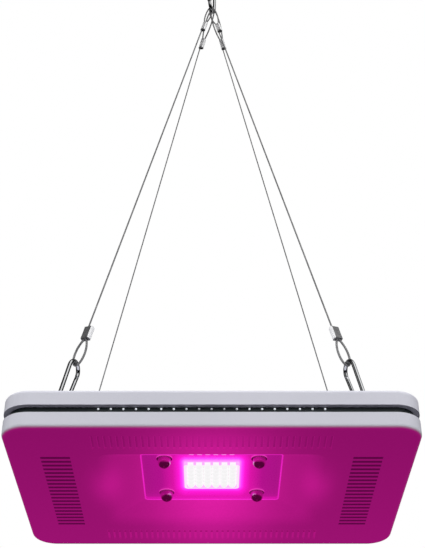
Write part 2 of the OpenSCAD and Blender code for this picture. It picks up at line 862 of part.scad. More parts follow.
// Half of a rope eye: arc round the hook's bar, straight leg to the ferrule, strand inside it
module rope_eye(eye_len) {
    rise = eye_len - eye_shift;
    reach = norm([strand_x, rise]);
    touch = atan2(rise, strand_x) - acos(eye_arc_r / reach);
    foot = [eye_arc_r * cos(touch), 0, eye_shift + eye_arc_r * sin(touch)];
    translate([0, 0, eye_shift]) rotate([90, 0, 0]) rotate([0, 0, 180 - touch])
        rotate_extrude(angle = 180 + 2 * touch) translate([eye_arc_r, 0]) circle(r = wire_d / 2);
    for (side = [-1, 1]) {
        knee = [side * strand_x, 0, eye_len];
        bar([side * foot[0], 0, foot[2]], knee, wire_d / 2);
        bead([side * foot[0], 0, foot[2]], wire_d / 2);
        bead(knee, wire_d / 2);
        bar(knee, knee + [0, 0, ferrule_len + rope_out], wire_d / 2);
    }
    bead(ferrule_exit(eye_len), wire_d / 2);
}

module wire(c) {
    up = rope_up(c);
    low_start = rope_low(c) + snap_reach * up;
    low_end = spot(low_start, up, low_across(c), ferrule_exit(low_eye(c)));
    top_end = spot(rope_top(c), -up, top_dir, ferrule_exit(top_eye(c)));
    color([0.6, 0.61, 0.62]) union() {
        in_line(low_start, up, low_across(c)) rope_eye(low_eye(c));
        in_line(rope_top(c), -up, top_dir) rope_eye(top_eye(c));
        bar(low_end, top_end, wire_d / 2);
    }
}

// Crimped oval sleeve on both strands
module ferrule(eye_len, flat) {
    translate([0, 0, eye_len + ferrule_gap]) difference() {
        linear_extrude(ferrule_len) union() {
            square([flat, 2 * ferrule_r], center = true);
            for (side = [-1, 1]) translate([side * flat / 2, 0]) circle(r = ferrule_r);
        }
        for (side = [-1, 1]) translate([side * strand_x, 0, -cut])
            cylinder(r = wire_d / 2 + ferrule_bore_gap, h = ferrule_len + 2 * cut);
    }
}

module low_ferrule(c) {
    up = rope_up(c);
    color([0.7, 0.71, 0.72])
        in_line(rope_low(c) + snap_reach * up, up, low_across(c)) ferrule(low_eye(c), low_flat);
}

module top_ferrule(c) {
    color([0.7, 0.71, 0.72])
        in_line(rope_top(c), -rope_up(c), top_dir) ferrule(top_eye(c), top_flat);
}

lower_cover();
lower_gasket();
heat_sink_base();
fin_block();
upper_gasket();
upper_cover();
window_gasket();
light_board();
thermal_pad();
lens_frame();
lens_domes();
board_screws();
board_washers();
band_pins();
case_screws();
driver_case();
driver_lid();
terminal_block();
light_leads();
supply_leads();
gland_body();
gland_nut();
gland_seal();
eye_washers();
eye_nuts();
eye_bolt(FL);  // eye_bolt_front_left
eye_bolt(FR);  // eye_bolt_front_right
eye_bolt(BL);  // eye_bolt_back_left
eye_bolt(BR);  // eye_bolt_back_right
low_snap_body(FL);  // snap_body_front_left
low_snap_body(FR);  // snap_body_front_right
low_snap_body(BL);  // snap_body_back_left
low_snap_body(BR);  // snap_body_back_right
low_snap_gate(FL);  // snap_gate_front_left
low_snap_gate(FR);  // snap_gate_front_right
low_snap_gate(BL);  // snap_gate_back_left
low_snap_gate(BR);  // snap_gate_back_right
wire(FL);  // wire_front_left
wire(FR);  // wire_front_right
wire(BL);  // wire_back_left
wire(BR);  // wire_back_right
low_ferrule(FL);  // low_ferrule_front_left
low_ferrule(FR);  // low_ferrule_front_right
low_ferrule(BL);  // low_ferrule_back_left
low_ferrule(BR);  // low_ferrule_back_right
top_ferrule(FL);  // top_ferrule_front_left
top_ferrule(FR);  // top_ferrule_front_right
top_ferrule(BL);  // top_ferrule_back_left
top_ferrule(BR);  // top_ferrule_back_right
top_hook_body();
top_hook_gate();
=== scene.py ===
"""Looks of the hanging LED grow light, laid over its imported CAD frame. Lengths are in metres."""

import json
import math

import bpy
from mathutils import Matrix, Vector


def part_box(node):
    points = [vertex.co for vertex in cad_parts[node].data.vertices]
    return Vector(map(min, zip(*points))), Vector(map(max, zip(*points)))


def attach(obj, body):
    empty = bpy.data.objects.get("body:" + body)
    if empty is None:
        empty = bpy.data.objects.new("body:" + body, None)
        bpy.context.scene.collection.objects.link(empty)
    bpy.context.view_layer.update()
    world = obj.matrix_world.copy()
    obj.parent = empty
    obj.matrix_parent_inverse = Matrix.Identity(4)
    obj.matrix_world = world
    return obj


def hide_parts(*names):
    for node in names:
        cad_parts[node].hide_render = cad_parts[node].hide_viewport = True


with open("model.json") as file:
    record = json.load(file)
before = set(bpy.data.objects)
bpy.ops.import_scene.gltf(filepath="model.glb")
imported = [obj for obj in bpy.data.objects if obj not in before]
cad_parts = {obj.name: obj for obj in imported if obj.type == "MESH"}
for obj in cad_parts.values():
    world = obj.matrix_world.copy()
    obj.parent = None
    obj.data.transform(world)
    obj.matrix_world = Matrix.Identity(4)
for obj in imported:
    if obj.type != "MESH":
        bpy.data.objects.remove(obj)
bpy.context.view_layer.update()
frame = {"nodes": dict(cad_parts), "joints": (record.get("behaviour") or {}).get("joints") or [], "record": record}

MM = 0.001

# Places read from the frame
LAMP_LOW, LAMP_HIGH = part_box("lower_cover")
UNDERSIDE_Z = LAMP_LOW.z
BOARD_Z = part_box("light_board")[0].z
WINDOW_LOW, WINDOW_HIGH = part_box("window_gasket")
DOMES_LOW, DOMES_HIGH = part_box("lens_domes")
DOME_N = 6  # domes along each side of the array
DASH_PITCH = 6.3 * MM  # spacing of the bright dashes, painted reflections of the lenses, on the window bead
FRAME_RIM = 1.8 * MM  # lens frame beyond the domes
JOINTS = {joint["name"]: joint for joint in frame["joints"]}
NODE_SLOTS = {part["node"]: part["material_slot"] for part in frame["record"]["subparts"]}

CORNERS = {
    "front_left": (-1, -1),
    "front_right": (1, -1),
    "back_left": (-1, 1),
    "back_right": (1, 1),
}

# ---------------------------------------------------------------- camera, light and floor

CAMERA_BACK = 853.4 * MM  # in front of the lamp's middle
CAMERA_SIDE = 0.0006  # to the right of its middle
CAMERA_DROP = 385.8 * MM  # below the lamp's underside
CAMERA_PITCH = 35.09  # degrees above the horizon
CAMERA_LENS = 75.55
FLOOR_DROP = 1.5  # the lamp's underside above the floor


def make_camera():
    data = bpy.data.cameras.new("camera")
    data.lens = CAMERA_LENS
    data.sensor_width = 36
    data.clip_start = 0.01
    data.clip_end = 50
    camera = bpy.data.objects.new("camera", data)
    camera.location = (CAMERA_SIDE, -CAMERA_BACK, UNDERSIDE_Z - CAMERA_DROP)
    camera.rotation_euler = (math.radians(90 + CAMERA_PITCH), 0, 0)
    bpy.context.scene.collection.objects.link(camera)
    bpy.context.scene.camera = camera


def soft_box(name, place, aim, width, height, power, colour=(1, 1, 1)):
    """A rectangular studio light at place, facing aim."""
    data = bpy.data.lights.new(name, "AREA")
    data.shape = "RECTANGLE"
    data.size = width
    data.size_y = height
    data.energy = power
    data.color = colour
    light = bpy.data.objects.new(name, data)
    light.location = place
    light.rotation_euler = (Vector(aim) - Vector(place)).to_track_quat("-Z", "Y").to_euler()
    light.visible_glossy = False
    bpy.context.scene.collection.objects.link(light)
    return light


def make_lights():
    """Every white light stays above the underside's plane, so that only the lamp lights the underside."""
    middle = (0, 0, UNDERSIDE_Z + 0.02)
    soft_box("front_light", (0, -2.2, 0.1), middle, 3.0, 1.2, 27)
    soft_box("left_light", (-2.0, -0.6, 0.2), middle, 1.2, 1.2, 9)
    soft_box("right_light", (2.0, -0.6, 0.2), middle, 1.2, 1.2, 9)
    soft_box("back_light", (0, 2.2, 0.5), middle, 2.4, 1.2, 20)
    soft_box("top_light", (0, 0, 1.8), middle, 2.0, 2.0, 12)


def world_band(tree, along, stops):
    """Grey level by direction along one axis, as a colour ramp."""
    ramp = tree.nodes.new("ShaderNodeValToRGB")
    ramp.color_ramp.interpolation = "EASE"
    elements = ramp.color_ramp.elements
    while len(elements) < len(stops):
        elements.new(0.5)
    for element, (position, grey) in zip(elements, stops):
        element.position = position
        element.color = (grey, grey, grey, 1)
    shift = tree.nodes.new("ShaderNodeMath")
    shift.operation = "MULTIPLY_ADD"
    shift.inputs[1].default_value = 0.5
    shift.inputs[2].default_value = 0.5
    tree.links.new(along, shift.inputs[0])
    tree.links.new(shift.outputs[0], ramp.inputs["Fac"])
    return ramp.outputs["Color"]


def make_world():
    """White to look at; lights from above only; shows polished metal dark with a bright streak."""
    world = bpy.data.worlds.new("studio")
    bpy.context.scene.world = world
    world.use_nodes = True
    tree = world.node_tree
    tree.nodes.clear()
    direction = tree.nodes.new("ShaderNodeTexCoord").outputs["Generated"]
    axes = tree.nodes.new("ShaderNodeSeparateXYZ")
    tree.links.new(direction, axes.inputs[0])
    fill = world_band(tree, axes.outputs["Z"], [(0.48, 0.0), (0.56, 0.75), (1.0, 1.0)])
    layers = [
        world_band(tree, axes.outputs["X"], [
            (0.0, 0.35), (0.2, 0.03), (0.44, 0.05), (0.52, 1.0), (0.84, 1.0), (0.94, 0.1)]),
        world_band(tree, axes.outputs["Y"], [(0.0, 1.0), (0.40, 1.0), (0.50, 0.06), (0.9, 0.04), (1.0, 0.3)]),
        world_band(tree, axes.outputs["Z"], [(0.46, 0.0), (0.54, 1.0)]),
    ]
    bands = layers[0]
    for layer in layers[1:]:
        product = tree.nodes.new("ShaderNodeMix")
        product.data_type = "RGBA"
        product.blend_type = "MULTIPLY"
        product.inputs["Factor"].default_value = 1
        tree.links.new(bands, product.inputs["A"])
        tree.links.new(layer, product.inputs["B"])
        bands = product.outputs["Result"]
    path = tree.nodes.new("ShaderNodeLightPath")
    for ray, colour in (("Is Glossy Ray", bands), ("Is Camera Ray", (1, 1, 1, 1))):
        choice = tree.nodes.new("ShaderNodeMix")
        choice.data_type = "RGBA"
        tree.links.new(path.outputs[ray], choice.inputs["Factor"])
        tree.links.new(fill, choice.inputs["A"])
        if isinstance(colour, tuple):
            choice.inputs["B"].default_value = colour
        else:
            tree.links.new(colour, choice.inputs["B"])
        fill = choice.outputs["Result"]
    sky = tree.nodes.new("ShaderNodeBackground")
    tree.links.new(fill, sky.inputs["Color"])
    output = tree.nodes.new("ShaderNodeOutputWorld")
    tree.links.new(sky.outputs[0], output.inputs["Surface"])


def mesh_piece(name, vertices, faces):
    mesh = bpy.data.meshes.new(name)
    mesh.from_pydata([tuple(v) for v in vertices], [], faces)
    mesh.validate()
    mesh.update()
    piece = bpy.data.objects.new(name, mesh)
    bpy.context.scene.collection.objects.link(piece)
    return piece


def make_floor():
    size = 12
    z = UNDERSIDE_Z - FLOOR_DROP
    corners = [(-size, -size, z), (size, -size, z), (size, size, z), (-size, size, z)]
    floor = mesh_piece("floor", corners, [(0, 1, 2, 3)])
    paint = Shader("floor_paint")
    drift = paint.noise(3, detail=2)
    paint.colour(paint.ramp(drift, [(0.3, (0.88, 0.88, 0.88)), (0.7, (0.92, 0.92, 0.92))]))
    paint.set("Roughness", 0.9)
    floor.data.materials.append(paint.material)
    floor.visible_diffuse = False
    floor.visible_glossy = False


# ---------------------------------------------------------------- material helpers


class Shader:
    """A Principled material's node tree, with short calls for the nodes used here."""

    def __init__(self, name):
        self.material = bpy.data.materials.new(name)
        self.material.use_nodes = True
        self.tree = self.material.node_tree
        self.surface = self.tree.nodes["Principled BSDF"]
        self.place = self.tree.nodes.new("ShaderNodeTexCoord")

    def feed(self, socket, value):
        if isinstance(value, bpy.types.NodeSocket):
            self.tree.links.new(value, socket)
        elif isinstance(value, tuple) and len(value) == 3 and len(socket.default_value) == 4:
            socket.default_value = (*value, 1)
        else:
            socket.default_value = value

    def set(self, name, value):
        self.feed(self.surface.inputs[name], value)

    def colour(self, value):
        self.set("Base Color", value)

    def noise(self, scale, detail=3, stretch=(1, 1, 1)):
        """Noise in the piece's own coordinates; scale is in waves per metre along each axis."""
        spread = self.tree.nodes.new("ShaderNodeMapping")
        spread.inputs["Scale"].default_value = stretch
        self.tree.links.new(self.place.outputs["Object"], spread.inputs["Vector"])
        noise = self.tree.nodes.new("ShaderNodeTexNoise")
        noise.inputs["Scale"].default_value = scale
        noise.inputs["Detail"].default_value = detail
        self.tree.links.new(spread.outputs[0], noise.inputs["Vector"])
        return noise.outputs["Fac"]

    def ramp(self, factor, stops):
        ramp = self.tree.nodes.new("ShaderNodeValToRGB")
        elements = ramp.color_ramp.elements
        while len(elements) < len(stops):
            elements.new(0.5)
        for element, (position, colour) in zip(elements, stops):
            element.position = position
            element.color = (*colour, 1)
        self.feed(ramp.inputs["Fac"], factor)
        return ramp.outputs["Color"]

    def math(self, operation, *values):
        node = self.tree.nodes.new("ShaderNodeMath")
        node.operation = operation
        for socket, value in zip(node.inputs, values):
            self.feed(socket, value)
        return node.outputs[0]

    def scale(self, value, low, high, to_low, to_high):
        """A value carried smoothly from one range to another, and held at its ends."""
        node = self.tree.nodes.new("ShaderNodeMapRange")
        node.interpolation_type = "SMOOTHSTEP"
        for name, number in zip(("From Min", "From Max", "To Min", "To Max"), (low, high, to_low, to_high)):
            node.inputs[name].default_value = number
        self.feed(node.inputs["Value"], value)
        return node.outputs["Result"]

    def mix(self, factor, a, b, blend="MIX"):
        node = self.tree.nodes.new("ShaderNodeMix")
        node.data_type = "RGBA"
        node.blend_type = blend
        self.feed(node.inputs["Factor"], factor)
        self.feed(node.inputs["A"], a)
        self.feed(node.inputs["B"], b)
        return node.outputs["Result"]

    def axes(self, output="Object"):
        """x, y and z of the piece's own coordinates, or of its own normal."""
        split = self.tree.nodes.new("ShaderNodeSeparateXYZ")
        self.tree.links.new(self.place.outputs[output], split.inputs[0])
        return split.outputs["X"], split.outputs["Y"], split.outputs["Z"]

    def bump(self, height, depth, strength=1.0):
        """Bump whose height runs over depth, in metres."""
        node = self.tree.nodes.new("ShaderNodeBump")
        node.inputs["Strength"].default_value = strength
        node.inputs["Distance"].default_value = depth
        self.feed(node.inputs["Height"], height)
        self.set("Normal", node.outputs["Normal"])

    def glow(self, colour, strength):
        self.set("Emission Color", colour)
        self.set("Emission Strength", strength)


def finish_by_noise(shader, dark, light, blotch, grain, rough, depth):
    """Colour that drifts between two shades, with roughness and a fine bump that follow the grain."""
    drift = shader.noise(blotch, detail=2)
    fine = shader.noise(grain, detail=4)
    shader.colour(shader.ramp(drift, [(0.3, dark), (0.7, light)]))
    shader.set("Roughness", shader.scale(fine, 0.3, 0.7, rough[0], rough[1]))
    shader.bump(fine, depth)


# ---------------------------------------------------------------- light of the lamp on its own underside, painted as emission

PAINTED_LIGHT_TINT = (1.0, 0.018, 0.5)
PAINTED_LIGHT_EDGE = 0.30  # painted light level far from the light board
PAINTED_LIGHT_LEAN = 0.30  # how much the level rises per metre from front to back
PAINTED_LIGHT_PEAK = 0.35
PAINTED_LIGHT_SPREAD = (0.033, 0.070)
DISH_LIFT = 0.2  # extra painted light on the dish's slopes
SIDE_PATCH = (0.084, -0.010)  # place of the painted pool of light on either side
SIDE_SPREAD = (0.008, 0.022)
SIDE_GAIN = 0.14
FRONT_PATCH = (0.0, -0.080)  # place of the painted pool of light in front
FRONT_SPREAD = (0.036, 0.022)
FRONT_GAIN = 0.10
COVER_GLOW_TOP = 13.5 * MM  # height over the underside up to which the lower cover carries the painted light
ROWS_END = 0.098  # half width of the rows of slots
SIDES_START = 0.104  # where the side groups begin
INSIDE_X = 0.134  # half size of the cover's inside, seen through the slots
INSIDE_Y = 0.1085


def hill(shader, x, y, middle, spread):
    """Smooth bump over the underside, 1 at its middle."""
    total = None
    for value, at, width in zip((x, y), middle, spread):
        away = shader.math("DIVIDE", shader.math("SUBTRACT", value, at), width)
        square = shader.math("MULTIPLY", away, away)
        total = square if total is None else shader.math("ADD", total, square)
    return shader.math("EXPONENT", shader.math("MULTIPLY", total, -0.5))


def painted_light_level(shader):
    """How brightly the lamp's light is painted on its own underside, place by place."""
    x, y, z = shader.axes()
    level = shader.math("MULTIPLY_ADD", y, PAINTED_LIGHT_LEAN, PAINTED_LIGHT_EDGE)
    level = shader.math("MULTIPLY_ADD", hill(shader, x, y, (0, 0), PAINTED_LIGHT_SPREAD), PAINTED_LIGHT_PEAK, level)
    patch = hill(shader, shader.math("ABSOLUTE", x), y, SIDE_PATCH, SIDE_SPREAD)
    level = shader.math("MULTIPLY_ADD", patch, SIDE_GAIN, level)
    front = hill(shader, x, y, FRONT_PATCH, FRONT_SPREAD)
    level = shader.math("MULTIPLY_ADD", front, FRONT_GAIN, level)
    dish = shader.scale(z, UNDERSIDE_Z - 1 * MM, UNDERSIDE_Z + 6 * MM, 1.0 - DISH_LIFT / 7, 1.0 + DISH_LIFT)
    return shader.math("MULTIPLY", level, dish)


def facing_down(shader, start=0.2, full=0.8):
    _, _, normal_z = shader.axes("Normal")
    return shader.scale(shader.math("MULTIPLY", normal_z, -1.0), start, full, 0, 1)


# ---------------------------------------------------------------- one function per finish


def in_middle(shader):
    """1 over the lamp's middle, where the rows of slots are, and 0 over the side groups."""
    x, _, _ = shader.axes()
    return shader.scale(shader.math("ABSOLUTE", x), ROWS_END, SIDES_START, 1.0, 0.0)


def slot_wall_painted_light(shader):
    """How brightly the painted lamp light shows on the walls of the vent slots and the cover's inside, seen
    through the slots.
    """
    x, y, _ = shader.axes()
    in_x = shader.math("LESS_THAN", shader.math("ABSOLUTE", x), INSIDE_X)
    in_y = shader.math("LESS_THAN", shader.math("ABSOLUTE", y), INSIDE_Y)
    level = shader.math("MULTIPLY_ADD", in_middle(shader), 0.66, 0.22)
    return shader.math("MULTIPLY", shader.math("MULTIPLY", in_x, in_y), level)


def cover_plastic():
    """Satin moulded covers. The lower cover's underside and recess carry the lamp's magenta light, painted as
    emission over a dark magenta base colour, with a painted shade along the back edge.
    """
    shader = Shader("cover_plastic")
    drift = shader.noise(9, detail=2)
    grain = shader.noise(2600, detail=3)
    shell = shader.ramp(drift, [(0.25, (0.60, 0.60, 0.675)), (0.75, (0.66, 0.66, 0.735))])
    _, y, z = shader.axes()
    low = shader.math("LESS_THAN", z, UNDERSIDE_Z + COVER_GLOW_TOP)
    painted_light_mask = shader.math("MULTIPLY", shader.math("MAXIMUM", facing_down(shader), slot_wall_painted_light(shader)), low)
    # painted shade: the underside darkens towards its back edge
    back_edge_painted_shade = shader.scale(y, LAMP_HIGH.y - 6 * MM, LAMP_HIGH.y - 2.5 * MM, 0, 0.85)
    back_edge_painted_shade = shader.math("MULTIPLY", back_edge_painted_shade, facing_down(shader))
    level = shader.math("MULTIPLY", painted_light_level(shader), shader.math("SUBTRACT", 1.0, back_edge_painted_shade))
    speckle = shader.scale(shader.noise(700, detail=2), 0.3, 0.7, 0.97, 1.03)
    # where the light is painted, the base colour turns dark magenta, as part of the painted light
    shader.colour(shader.mix(painted_light_mask, shell, (0.10, 0.004, 0.05)))
    shader.glow(PAINTED_LIGHT_TINT, shader.math("MULTIPLY", shader.math("MULTIPLY", level, painted_light_mask), speckle))
    shader.set("Roughness", shader.scale(grain, 0.3, 0.7, 0.42, 0.56))
    shader.bump(grain, 0.05 * MM, 0.5)
    return shader.material


def gasket_rubber():
    shader = Shader("gasket_rubber")
    finish_by_noise(shader, (0.010, 0.010, 0.011), (0.022, 0.022, 0.024), 60, 2200, (0.7, 0.88), 0.06 * MM)
    return shader.material


def sink_black():
    """Black cast tray: it shows as the dark band and, through the vents, as a dim floor with painted magenta lamp
    light as glow.
    """
    shader = Shader("sink_black")
    finish_by_noise(shader, (0.006, 0.010, 0.011), (0.014, 0.021, 0.023), 14, 1500, (0.38, 0.55), 0.05 * MM)
    shader.set("Specular IOR Level", 0.3)
    middle = in_middle(shader)
    # painted lamp light: even in the middle rows, following the underside's painted light at the sides
    level = shader.mix(middle, (0.085, 0.085, 0.085), shader.math("MULTIPLY", painted_light_level(shader), 0.60))
    shader.glow(PAINTED_LIGHT_TINT, shader.math("MULTIPLY", level, facing_down(shader)))
    return shader.material


def brushed_metal(name, dark, light, rough, stretch, depth=0.02 * MM, metal=1.0):
    """Metal with fine lines along one axis."""
    shader = Shader(name)
    lines = shader.noise(900, detail=3, stretch=stretch)
    stain = shader.noise(90, detail=3)
    shader.colour(shader.ramp(stain, [(0.3, dark), (0.7, light)]))
    shader.set("Metallic", metal)
    shader.set("Roughness", shader.scale(lines, 0.3, 0.7, rough[0], rough[1]))
    shader.bump(lines, depth, 0.4)
    return shader.material


def lens_reflection_wave(shader, x):
    """1 over each column of lenses near the middle, 0 between them: where the painted reflections of the lenses
    go.
    """
    wave = shader.math("COSINE", shader.math("MULTIPLY_ADD", x, 2 * math.pi / DASH_PITCH, math.pi))
    inside = shader.math("LESS_THAN", shader.math("ABSOLUTE", x), DASH_PITCH * DOME_N / 2)
    return shader.math("MULTIPLY", shader.scale(wave, -0.6, 0.3, 0, 1), inside)


def window_seal():
    """White silicone, with the board's pink light painted into its colour and glow; only its rim is bright."""
    shader = Shader("window_seal")
    # pink base colour: painted light of the board on white silicone
    shader.colour((0.45, 0.05, 0.3))
    shader.set("Roughness", shader.scale(shader.noise(1800), 0.3, 0.7, 0.35, 0.5))
    x, y, _ = shader.axes()
    # painted pool of lamp light, brightest near the window's middle
    near = hill(shader, x, y, (0, 0), (0.04, 0.04))
    shader.glow(shader.mix(near, (0.42, 0.005, 0.25), (0.75, 0.01, 0.5)), 1.0)
    return shader.material


def bead_painted_light():
    """Clear bead round the window, with painted pink light as glow and a bright dash drawn in front for each
    column of lenses as a painted reflection of the lenses.
    """
    shader = Shader("bead_painted_light")
    x, y, _ = shader.axes()
    # painted reflection of each lens column, on the near side only
    dash = shader.math("MULTIPLY", lens_reflection_wave(shader, x), shader.math("LESS_THAN", y, 0.0))
    near = hill(shader, x, y, (0, 0), (0.05, 0.05))
    pink = shader.mix(near, (0.55, 0.008, 0.32), (1.0, 0.03, 0.75))
    # pinkish base colour: painted light on a clear bead
    shader.colour((0.5, 0.1, 0.4))
    shader.set("Roughness", shader.scale(shader.noise(1200), 0.3, 0.7, 0.15, 0.3))
    shader.glow(shader.mix(dash, pink, (1.0, 0.3, 0.95)), 1.0)
    return shader.material


def board_white():
    """White solder mask with the lamp's light painted on as glow over a dark magenta base: violet round the
    lenses, magenta further out.
    """
    shader = Shader("board_white")
    x, y, _ = shader.axes()
    half = (DOMES_HIGH.x - DOMES_LOW.x) / 2 + 1 * MM
    middle = (DOMES_HIGH.y + DOMES_LOW.y + FRAME_RIM) / 2
    out_x = shader.math("MAXIMUM", shader.math("SUBTRACT", shader.math("ABSOLUTE", x), half), 0.0)
    from_middle = shader.math("ABSOLUTE", shader.math("SUBTRACT", y, middle))
    out_y = shader.math("MAXIMUM", shader.math("SUBTRACT", from_middle, half + FRAME_RIM / 2), 0.0)
    out_y = shader.math("MULTIPLY", out_y, 0.5)
    away = shader.math("SQRT", shader.math("ADD", shader.math("MULTIPLY", out_x, out_x),
                                           shader.math("MULTIPLY", out_y, out_y)))
    # painted lamp light, brightest round the lenses
    ring = shader.ramp(shader.math("DIVIDE", away, 0.04), [
        (0.0, (0.76, 0.76, 0.76)), (0.015, (1.0, 0.3, 1.0)), (0.08, (1.0, 0.05, 1.0)),
        (0.14, (1.0, 0.010, 0.66)), (0.26, (0.70, 0.007, 0.38)), (0.5, (0.44, 0.006, 0.26)),
        (1.0, (0.36, 0.007, 0.215))])
    # dark magenta base colour: painted lamp light on white solder mask
    shader.colour(shader.mix(shader.noise(40), (0.12, 0.01, 0.07), (0.16, 0.012, 0.09)))
    shader.glow(ring, facing_down(shader))
    shader.set("Roughness", shader.scale(shader.noise(1500), 0.3, 0.7, 0.25, 0.4))
    return shader.material


def dome_silicone():
    """Clear lenses, brighter than the picture can show."""
    shader = Shader("dome_silicone")
    shader.colour((0.1, 0.095, 0.1))
    shader.set("Roughness", shader.scale(shader.noise(1500), 0.3, 0.7, 0.3, 0.4))
    shader.set("Specular IOR Level", 0.05)
    shader.glow(shader.ramp(shader.noise(500), [(0.3, (0.93, 0.92, 0.93)), (0.7, (0.96, 0.95, 0.96))]), 0.95)
    return shader.material


def lens_white():
    """White frame round the lenses, with the lamp's light painted on as glow and pink colour: its rim is painted
    white, its outer faces pink.
    """
    shader = Shader("lens_white")
    finish_by_noise(shader, (0.3, 0.1, 0.28), (0.36, 0.14, 0.33), 80, 1500, (0.3, 0.45), 0.02 * MM)
    shader.glow(shader.mix(facing_down(shader), (1.0, 0.45, 1.0), (1.0, 0.84, 1.0)), 0.93)
    return shader.material


def pin_dots():
    """Plated pin heads along the band, with a painted glint as glow, drawn dimmer near the middle."""
    shader = Shader("pin_dots")
    x, _, _ = shader.axes()
    # painted glint on the pin heads, dimmer near the middle
    bright = shader.scale(shader.math("ABSOLUTE", x), 0.012, 0.026, 0.08, 0.5)
    shader.colour((0.75, 0.76, 0.78))
    shader.set("Roughness", shader.scale(shader.noise(2400), 0.3, 0.7, 0.2, 0.35))
    shader.glow((0.9, 0.95, 1.0), bright)
    return shader.material


def screw_steel():
    """Nickel-plated screws. Those under the lamp are darker, with a pink tint and a little glow, both painted lamp
    light, most on the rims' flanks as a painted highlight.
    """
    shader = Shader("screw_steel")
    lines = shader.noise(900, detail=3, stretch=(0.05, 1, 1))
    stain = shader.noise(90, detail=3)
    plated = shader.ramp(stain, [(0.3, (0.50, 0.50, 0.52)), (0.7, (0.66, 0.66, 0.68))])
    _, _, z = shader.axes()
    under = shader.math("LESS_THAN", z, BOARD_Z + 0.3 * MM)
    rim = shader.math("MULTIPLY", under, shader.math("GREATER_THAN", z, BOARD_Z - 1.1 * MM))
    flank_painted_highlight = shader.math("MULTIPLY", rim, shader.math("SUBTRACT", 1.0, facing_down(shader)))
    # pink tint under the lamp: painted lamp light
    shader.colour(shader.mix(under, plated, (0.56, 0.44, 0.52)))
    shader.set("Metallic", 1.0)
    shader.set("Roughness", shader.scale(lines, 0.3, 0.7, 0.18, 0.32))
    shader.bump(lines, 0.02 * MM, 0.4)
    # painted lamp light as glow, brightest as a painted highlight on the rims' flanks
    shader.glow(shader.mix(flank_painted_highlight, (0.075, 0.001, 0.034), (0.52, 0.04, 0.32)), under)
    return shader.material


def plain_plastic(name, dark, light, rough):
    shader = Shader(name)
    finish_by_noise(shader, dark, light, 70, 1800, rough, 0.04 * MM)
    return shader.material


def make_finishes():
    along_x, along_z = (0.05, 1, 1), (1, 1, 0.05)
    return {
        "cover_plastic": cover_plastic(),
        "gasket_rubber": gasket_rubber(),
        "sink_black": sink_black(),
        "fin_metal": brushed_metal("fin_metal", (0.50, 0.51, 0.53), (0.62, 0.63, 0.65), (0.3, 0.45), along_x),
        "window_seal": window_seal(),
        "board_white": board_white(),
        "pad_grey": plain_plastic("pad_grey", (0.30, 0.38, 0.46), (0.38, 0.46, 0.55), (0.7, 0.85)),
        "lens_white": lens_white(),
        "dome_silicone": dome_silicone(),
        "screw_steel": screw_steel(),
        "pin_dots": pin_dots(),
        "zinc_steel": brushed_metal(
            "zinc_steel", (0.58, 0.59, 0.60), (0.74, 0.75, 0.76), (0.06, 0.14), along_z),
        "rope_steel": brushed_metal(
            "rope_steel", (0.22, 0.22, 0.225), (0.34, 0.34, 0.345), (0.5, 0.65), along_z, metal=0.35),
        "ferrule_metal": brushed_metal(
            "ferrule_metal", (0.17, 0.17, 0.175), (0.27, 0.27, 0.275), (0.28, 0.42), along_z, metal=0.6),
        # narrow sides of the ferrules: near white, a painted highlight
        "ferrule_side_highlight": brushed_metal(
            "ferrule_side_highlight", (0.85, 0.85, 0.86), (0.95, 0.95, 0.96), (0.3, 0.4), along_z, metal=0.0),
        "driver_plastic": plain_plastic(
            "driver_plastic", (0.08, 0.085, 0.09), (0.12, 0.125, 0.13), (0.5, 0.65)),
        "terminal_plastic": plain_plastic(
            "terminal_plastic", (0.66, 0.66, 0.6), (0.74, 0.74, 0.68), (0.35, 0.5)),
        "lead_red": plain_plastic("lead_red", (0.45, 0.02, 0.02), (0.55, 0.03, 0.03), (0.35, 0.5)),
        "lead_blue": plain_plastic("lead_blue", (0.02, 0.05, 0.4), (0.03, 0.07, 0.5), (0.35, 0.5)),
        "gland_plastic": plain_plastic(
            "gland_plastic", (0.010, 0.010, 0.011), (0.02, 0.02, 0.022), (0.4, 0.55)),
    }


def dress_nodes(finishes):
    for name, node in frame["nodes"].items():
        for place in node.material_slots:
            place.material = finishes["pin_dots" if name == "band_pins" else NODE_SLOTS[name]]


# ---------------------------------------------------------------- bead round the window

BEAD_R = 0.36 * MM
BEAD_INSET = 0.35 * MM
WINDOW_CORNER = 3 * MM
SEAL_W = 2.5 * MM  # width of the window gasket hidden behind the window's edge


def rounded_loop(half_w, half_d, corner, steps=10):
    """Points round a rounded rectangle, anticlockwise from above."""
    loop = []
    for quarter, (sx, sy) in enumerate(((1, 1), (-1, 1), (-1, -1), (1, -1))):
        for i in range(steps + 1):
            a = math.pi / 2 * (quarter + i / steps)
            x = sx * (half_w - corner) + corner * math.cos(a)
            y = sy * (half_d - corner) + corner * math.sin(a)
            loop.append((x, y))
    return loop


def make_window_bead(finish):
    """Round bead along the lower edge of the window."""
    half_w = WINDOW_HIGH.x - SEAL_W - BEAD_INSET
    half_d = WINDOW_HIGH.y - SEAL_W - BEAD_INSET
    z = WINDOW_LOW.z - 0.3 * MM
    loop = rounded_loop(half_w, half_d, WINDOW_CORNER - BEAD_INSET)
    sides = 10
    vertices, faces = [], []
    for i, (x, y) in enumerate(loop):
        before, after = loop[i - 1], loop[(i + 1) % len(loop)]
        out = Vector((after[1] - before[1], before[0] - after[0], 0)).normalized()
        for j in range(sides):
            a = 2 * math.pi * j / sides
            vertices.append(Vector((x, y, z)) + BEAD_R * (math.cos(a) * out + Vector((0, 0, math.sin(a)))))
    for i in range(len(loop)):
        for j in range(sides):
            k, n = (j + 1) % sides, (i + 1) % len(loop)
            faces.append((i * sides + j, n * sides + j, n * sides + k, i * sides + k))
    bead = mesh_piece("window_bead", vertices, faces)
    bead.data.materials.append(finish)
    bead.data.shade_smooth()
    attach(bead, "lamp")


